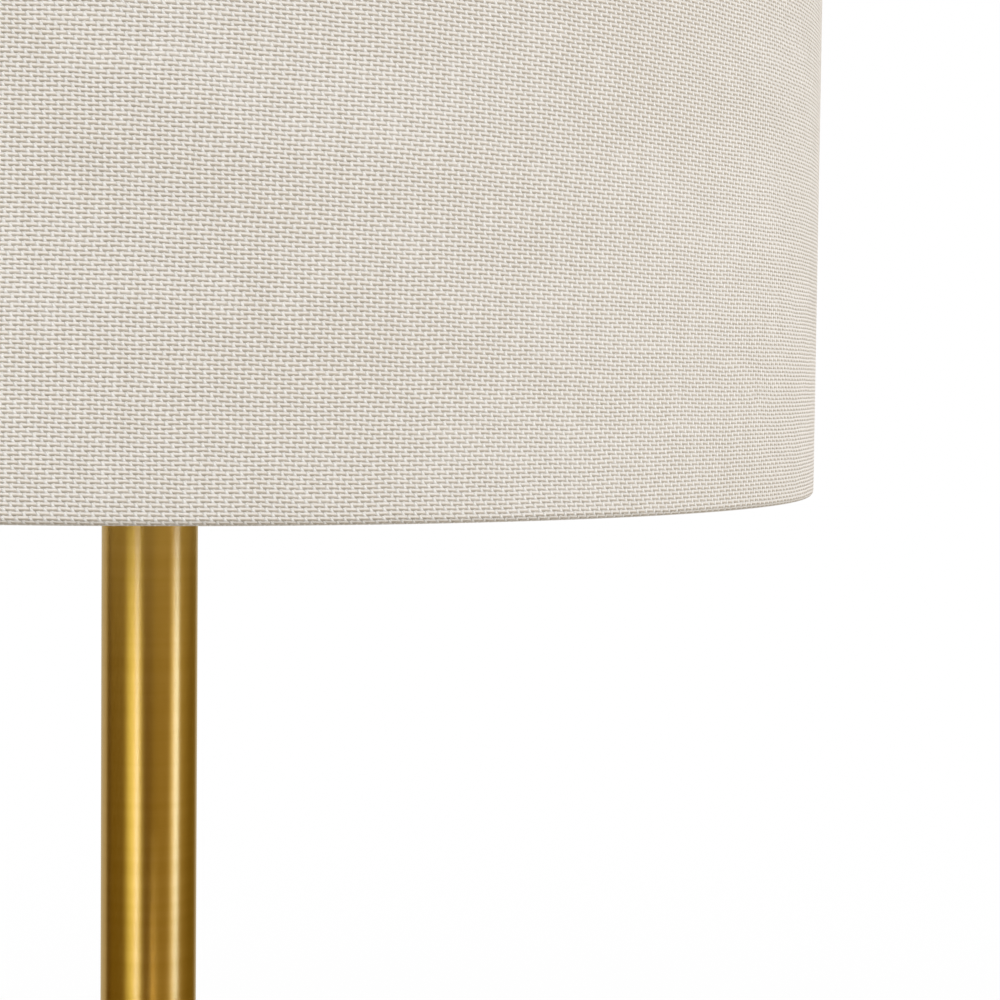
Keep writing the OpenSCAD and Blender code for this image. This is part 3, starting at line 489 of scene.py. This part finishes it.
def weave(tree):
    """A plain weave: its height, its weft floats' painted shade, its crossings' painted highlights, and its
    tone.
    """
    flat = tree.node("ShaderNodeUVMap", {"uv_map": "flat"}, {})
    across = tree.node("ShaderNodeSeparateXYZ", {}, {0: flat}, 0)
    up = tree.node("ShaderNodeSeparateXYZ", {}, {0: flat}, 1)
    drift = tree.noise(flat, DRIFT_SCALE, detail=3) - 0.5
    sway = tree.noise(tree.stretched(flat, (1, 1.4, 1)), SWAY_SCALE) - 0.5
    warp = (across - up * WARP_LEAN) / WARP_PITCH + drift * WARP_DRIFT + sway * WARP_SWAY
    weft = up / WEFT_PITCH + drift * WEFT_DRIFT + sway * WEFT_SWAY
    warp_index = warp.math("ROUND")
    weft_index = weft.math("ROUND")

    def noise_at(x, y, detail=2):
        """Noise at a place made of two numbers, such as how far along a thread, and which thread."""
        return tree.noise(tree.node("ShaderNodeCombineXYZ", {}, {0: x, 1: y}), 1, detail)

    slub = noise_at(across * SLUB_SCALE, weft_index * WEFT_STEP)
    knot = noise_at(warp_index * WARP_STEP, up * SLUB_SCALE)
    cell = noise_at(warp_index * CELL_STEPS[0], weft_index * CELL_STEPS[1], detail=0)
    wander = (cell - 0.5) * WANDER
    off_weft = weft - weft_index
    off_warp = warp - warp_index + off_weft * WARP_SLANT + wander

    over = weft_index.wave() * (warp + off_weft * WARP_SLANT + wander).wave()
    weft_ridge = 1 - off_weft * off_weft * (WEFT_ROUND - slub * WEFT_SLUB)
    warp_ridge = WARP_TOP - off_warp * off_warp * (WARP_ROUND - knot * WARP_KNOT)
    weft_height = weft_ridge + over * WEFT_RISE
    warp_height = warp_ridge - warp_index.wave() * weft.wave() * WARP_RISE

    # Painted shade: the lower half of each weft float is coloured darker, as if lit from above.
    below = (off_weft - (slub - 0.5) * SHADE_WAVY).between(*SHADE_TOP) * off_weft.between(*SHADE_FOOT)
    shaded = over.between(*FLOAT_ENDS) * below
    # Painted highlight: a warp thread crossing over is coloured nearly white, most in the lower part of the
    # row.
    highlight_strength = HIGHLIGHT_LEAST + off_weft.between(*HIGHLIGHT_LOW) * HIGHLIGHT_MORE
    crossing_highlight = (warp_height - weft_height).between(*CROSSING_EDGE) * highlight_strength
    tone = slub + knot - 1 + wander * TONE_WANDER
    return weft_height.math("MAXIMUM", warp_height), shaded, crossing_highlight, tone, flat


print("threads in 100 mm:", round(100 * MM / WARP_PITCH), "warp and", round(100 * MM / WEFT_PITCH), "weft")

# %% [markdown]
# ## Linen finish
# The height of the weave bends the light through a Bump node. The colour has light and shade painted in too,
# which no bump gives alone: painted shade makes each weft float tan on its lower half, painted light makes
# its upper half pale, and a painted highlight makes a warp thread that crosses over nearly white. Fine
# fibres and broad patches make all of it uneven.

# %% Linen finish
# Painted shade on each weft float's lower half, painted light on its upper half, and a painted highlight
# where a warp crosses over.
SHADED = (0.645, 0.58, 0.49)
LIT = (0.855, 0.818, 0.765)
CROSSING_HIGHLIGHT = (0.965, 0.948, 0.91)
FIBRE_SCALE = 2600
PATCH_SCALE = 9
DASH_SHARE = 0.86
DASH_UNEVEN = (0.65, 0.3, 0.7)
REST_SHARE = 0.12
REST_UNEVEN = (0.35, 0.35, 0.45)
RELIEF = 0.21 * MM
FIBRE_RELIEF = 0.3


def linen(tree):
    height, shaded, crossing_highlight, tone, flat = weave(tree)
    fibre = tree.noise(flat, FIBRE_SCALE) - 0.5
    patch = tree.noise(tree.stretched(flat, (1, 3, 1)), PATCH_SCALE, detail=4) - 0.5

    def uneven(share, amounts):
        for change, amount in zip((tone, fibre, patch), amounts):
            share = share - change * amount
        return share

    shade = shaded * uneven(DASH_SHARE, DASH_UNEVEN) + uneven(REST_SHARE, REST_UNEVEN)
    return {
        "Base Color": tree.mix(crossing_highlight, tree.mix(shade, LIT, SHADED), CROSSING_HIGHLIGHT),
        "Normal": tree.bump(height + fibre * FIBRE_RELIEF, RELIEF),
    }


linen_finish = surface("linen", linen, Roughness=0.92, **{"Specular IOR Level": 0.2, "Sheen Weight": 0.1,
                                                        "Sheen Roughness": 0.5})
print("linen:", len(linen_finish.node_tree.nodes), "nodes")

# %% [markdown]
# ## The cloth's pattern
# The real cloth is a strip that is glued around the stiff liner and rolled inwards over both rims, around
# the ring wires. Spinning its section around would be quicker, but the cloth would have no ends and no flat
# pattern. So its size is worked out first, as a maker does: its width is a walk of straight runs and bends,
# from the turn-in at the bottom, over the rim, up the wall and in again at the top.

# %% The cloth's pattern
wall_low, wall_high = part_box("shade_fabric")
hem_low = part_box("bottom_hem")[0]
hem_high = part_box("top_hem")[1]
SHADE_RADIUS = wall_high.x
CLOTH = 0.6 * MM
RIM_WIDTH = 6.15 * MM
OUTER_BEND = 1.6 * MM
INNER_BEND = 2.6 * MM
TURN_IN = 8.6 * MM
OVERLAP = 12 * MM

wall = hem_high.z - hem_low.z - 2 * OUTER_BEND
rim_flat = RIM_WIDTH - OUTER_BEND - INNER_BEND
rolled = [("run", TURN_IN), ("bend", INNER_BEND), ("run", rim_flat), ("bend", OUTER_BEND)]
walk = rolled + [("run", wall)] + rolled[::-1]
lengths = [size if kind == "run" else size * math.pi / 2 for kind, size in walk]
CLOTH_WIDTH = sum(lengths)
CLOTH_LENGTH = 2 * math.pi * SHADE_RADIUS + OVERLAP
print("cloth cut to %.0f x %.0f mm" % (CLOTH_LENGTH / MM, CLOTH_WIDTH / MM))

# %% [markdown]
# ## Cutting the cloth
# A flat grid in metres is creased wherever it will bend, and snipped at its upper edge where the three arms
# of the spider pass through the turn-in. The grid is cut by planes, so that each crease is exactly where
# the walk turns. Each corner's flat place is kept as the UV map, and the weave follows it.

# %% Cutting the cloth
CLOTH_COLUMNS = 360
BEND_STEPS = 8
RUN_STEP = 25 * MM
SEAM_ANGLE = math.radians(98)
ARM_ANGLES = [math.radians(a) for a in (90, 210, 330)]
SNIP = 4.2 * MM


def rows_of_cloth():
    """Where the strip is creased: closely in the bends, and at a few heights of the wall."""
    rows = []
    start = 0
    for (kind, size), length in zip(walk, lengths):
        steps = BEND_STEPS if kind == "bend" else max(2, round(length / RUN_STEP))
        rows += [start + length * i / steps for i in range(steps)]
        start += length
    return rows[1:]


def cut(bm, place, direction):
    geometry = bm.verts[:] + bm.edges[:] + bm.faces[:]
    bmesh.ops.bisect_plane(bm, geom=geometry, plane_co=place, plane_no=direction)


bm = bmesh.new()
bmesh.ops.create_grid(bm, x_segments=CLOTH_COLUMNS, y_segments=1, size=0.5)
bmesh.ops.transform(bm, matrix=Matrix.Diagonal((CLOTH_LENGTH, CLOTH_WIDTH, 1, 1)), verts=bm.verts)
bmesh.ops.translate(bm, vec=(CLOTH_LENGTH / 2, CLOTH_WIDTH / 2, 0), verts=bm.verts)
for row in rows_of_cloth():
    cut(bm, (0, row, 0), (0, 1, 0))
snip_start = CLOTH_WIDTH - TURN_IN
arm_places = [((angle - SEAM_ANGLE) % (2 * math.pi)) * SHADE_RADIUS for angle in ARM_ANGLES]
for place in arm_places:
    for side in (-1, 1):
        cut(bm, (place + side * SNIP / 2, 0, 0), (1, 0, 0))
snipped = [f for f in bm.faces if f.calc_center_median().y > snip_start
           and min(abs(f.calc_center_median().x - p) for p in arm_places) < SNIP / 2]
bmesh.ops.delete(bm, geom=snipped, context="FACES")

flat_map = bm.loops.layers.uv.new("flat")
for face in bm.faces:
    for loop in face.loops:
        loop[flat_map].uv = loop.vert.co.xy
print("snipped grid:", len(bm.faces), "faces")

# %% [markdown]
# ## Wrapping the cloth
# Now the strip goes around the liner, as it does on the bench: it starts at the back, beside the spider's
# rear arm, and its end lies over its start by 12 mm. A Simple Deform modifier could bend it one way, but not
# two ways at once. So each corner is moved by rule: its place along the strip gives the angle, and its place
# across it gives the radius and the height. Then the cloth gets its thickness.

# %% Wrapping the cloth
OVERLAP_RISE = 3 * MM
OVERLAP_LIFT = CLOTH + 0.05 * MM
NEAR_MIDDLE = 20 * MM


def along_profile(distance):
    """Radius, height and outward direction at a distance along the walk, from the bottom turn-in."""
    place = Vector((SHADE_RADIUS - RIM_WIDTH, hem_low.z + INNER_BEND + TURN_IN))
    turned = -math.pi / 2
    for kind, size in walk:
        length = size if kind == "run" else size * math.pi / 2
        step = min(max(distance, 0), length)
        ahead = Vector((math.cos(turned), math.sin(turned)))
        side = Vector((-ahead.y, ahead.x))
        if kind == "run":
            place = place + ahead * step
        else:
            turn = step / size
            place = place + ahead * size * math.sin(turn) + side * size * (1 - math.cos(turn))
            turned += turn
        distance -= length
        if distance <= 0:
            break
    return place, Vector((math.sin(turned), -math.cos(turned)))


for vert in bm.verts:
    (radius, height), outward = along_profile(vert.co.y)
    angle = SEAM_ANGLE + vert.co.x / SHADE_RADIUS
    past_seam = vert.co.x - 2 * math.pi * SHADE_RADIUS
    lift = OVERLAP_LIFT * min(1, max(0, past_seam / OVERLAP_RISE + 1))
    radius += outward.x * lift
    vert.co = (radius * math.cos(angle), radius * math.sin(angle), height + outward.y * lift)
bmesh.ops.recalc_face_normals(bm, faces=bm.faces)
middle = next(f for f in bm.faces if abs(f.calc_center_median().z - wall_low.z - wall / 2) < NEAR_MIDDLE)
if middle.normal.dot(middle.calc_center_median() * Vector((1, 1, 0))) < 0:
    bmesh.ops.reverse_faces(bm, faces=bm.faces)
bmesh.ops.solidify(bm, geom=bm.faces, thickness=CLOTH)
linen_skin = mesh_object("linen_skin", bm, linen_finish)
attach(linen_skin, "shade")
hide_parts("shade_fabric", "top_hem", "bottom_hem")
print("linen_skin:", len(linen_skin.data.polygons), "faces")

# %% [markdown]
# ## Brass
# The stem is brushed around its girth and lacquered. Brushing leaves fine grooves, so it smears what the
# tube reflects up and down, but hardly sideways: that is anisotropic roughness. A thin clear coat lies over
# the metal. Faint bands of coarser grooves run around the tube and change its roughness a little.

# %% Brushed brass
BRASS = (0.70, 0.47, 0.125)
BRASS_DEEP = (0.62, 0.40, 0.09)
FINE_GROOVES = (6, 6, 2400)
COARSE_GROOVES = (3, 3, 260)
GROOVE_DEPTH = 0.004 * MM


def brushed(tree):
    place = tree.places()
    fine = tree.noise(tree.stretched(place, FINE_GROOVES), 1)
    bands = tree.noise(tree.stretched(place, COARSE_GROOVES), 1, detail=3)
    cloud = tree.noise(place, 22, detail=3)
    return {
        "Base Color": tree.mix(bands.between(0.3, 0.7) * 0.5 + cloud * 0.4, BRASS_DEEP, BRASS),
        "Roughness": 0.29 + bands * 0.06 + fine * 0.02,
        "Normal": tree.bump(fine + bands * 0.6, GROOVE_DEPTH, 0.5),
    }


COAT = {"Coat Weight": 0.9, "Coat Roughness": 0.16, "Coat IOR": 1.5}
AROUND = {"Anisotropic": 0.95, "Anisotropic Rotation": 0.25}
brushed_brass = surface("brushed_brass", brushed, Metallic=1, **AROUND, **COAT)
print("brushed brass:", len(brushed_brass.node_tree.nodes), "nodes")

# %% [markdown]
# ## Satin brass
# The legs, the hub, the harp and the finial are only polished. They could take the stem's finish, but its
# smeared reflections would look wrong on bent rods and flat faces. So this brass has a round highlight, a
# faint grain and a cloudy gloss.

# %% Satin brass
SATIN_GROOVES = (60, 60, 1800)


def satin(tree):
    place = tree.places()
    fine = tree.noise(tree.stretched(place, SATIN_GROOVES), 1)
    cloud = tree.noise(place, 40, detail=4)
    return {
        "Base Color": tree.mix(cloud.between(0.3, 0.75) * 0.7, BRASS_DEEP, BRASS),
        "Roughness": 0.22 + cloud * 0.08,
        "Normal": tree.bump(fine, GROOVE_DEPTH, 0.4),
    }


satin_brass = surface("satin_brass", satin, Metallic=1, **COAT)
print("satin brass:", len(satin_brass.node_tree.nodes), "nodes")

# %% [markdown]
# ## Other finishes
# The rest is hardware that a buyer sees from below or when the bulb is changed: pressed plate, zinc,
# rubber, moulded resin, white enamel, styrene, card and glass. Each could have a pattern of its own, but
# none of them has one that shows from where a lamp is looked at. So one maker of plain finishes serves them
# all, with two near colours, an uneven gloss and a fine grain.

# %% Other finishes
CLOUD_SIZE = 14
GLOSS_CHANGE = 0.12


def speckled(light, dark, scale, rough, depth):
    """A maker of plain finishes. scale is how fine the grain is, and depth how deep."""
    def build(tree):
        place = tree.places()
        grain = tree.noise(place, scale, detail=4)
        cloud = tree.noise(place, scale / CLOUD_SIZE, detail=3)
        return {
            "Base Color": tree.mix(cloud.between(0.3, 0.7), dark, light),
            "Roughness": rough + (grain - 0.5) * GLOSS_CHANGE,
            "Normal": tree.bump(grain, depth, 0.5),
        }
    return build


finishes = {
    "linen": linen_finish,
    "brushed_brass": brushed_brass,
    "brass": satin_brass,
    "liner": surface("styrene", speckled((0.86, 0.85, 0.82), (0.83, 0.815, 0.78), 900, 0.5, 0.02 * MM)),
    "white_wire": surface("enamel", speckled((0.84, 0.84, 0.82), (0.80, 0.80, 0.77), 700, 0.32, 0.01 * MM)),
    "plate": surface("pressed_brass", speckled((0.64, 0.44, 0.14), (0.54, 0.36, 0.10), 900, 0.3, 0.01 * MM),
                     Metallic=1),
    "zinc": surface("zinc_plate", speckled((0.62, 0.62, 0.60), (0.50, 0.51, 0.51), 1100, 0.34, 0.01 * MM),
                    Metallic=1),
    "rubber": surface("rubber", speckled((0.035, 0.035, 0.035), (0.022, 0.022, 0.022), 1500, 0.8, 0.05 * MM)),
    "bushing": surface("nylon", speckled((0.035, 0.035, 0.036), (0.025, 0.025, 0.026), 1200, 0.5, 0.02 * MM)),
    "moulding": surface("moulded_resin", speckled((0.045, 0.038, 0.032), (0.03, 0.025, 0.02), 900, 0.38,
                                                  0.02 * MM)),
    "card": surface("pressed_card", speckled((0.50, 0.38, 0.22), (0.40, 0.29, 0.16), 1600, 0.85, 0.05 * MM)),
    "opal_glass": surface("opal_glass", speckled((0.86, 0.855, 0.83), (0.83, 0.825, 0.80), 300, 0.24,
                                                 0.004 * MM)),
    "clear_glass": surface("clear_glass", speckled((0.92, 0.94, 0.94), (0.88, 0.90, 0.90), 200, 0.05,
                                                   0.002 * MM), **{"Transmission Weight": 0.9}),
    "filament": surface("light_stick", speckled((0.86, 0.66, 0.20), (0.78, 0.56, 0.14), 900, 0.6, 0.02 * MM)),
}

slots = {part["node"]: part["material_slot"] for part in frame["record"]["subparts"]}
for name, node in frame["nodes"].items():
    node.data.materials.clear()
    node.data.materials.append(finishes[slots[name]])
print("finishes:", ", ".join(sorted(finishes)))

# %% [markdown]
# ## Finish
# The view is Standard, so that colours render as they are written.

# %% Finish
bpy.context.scene.view_settings.view_transform = "Standard"
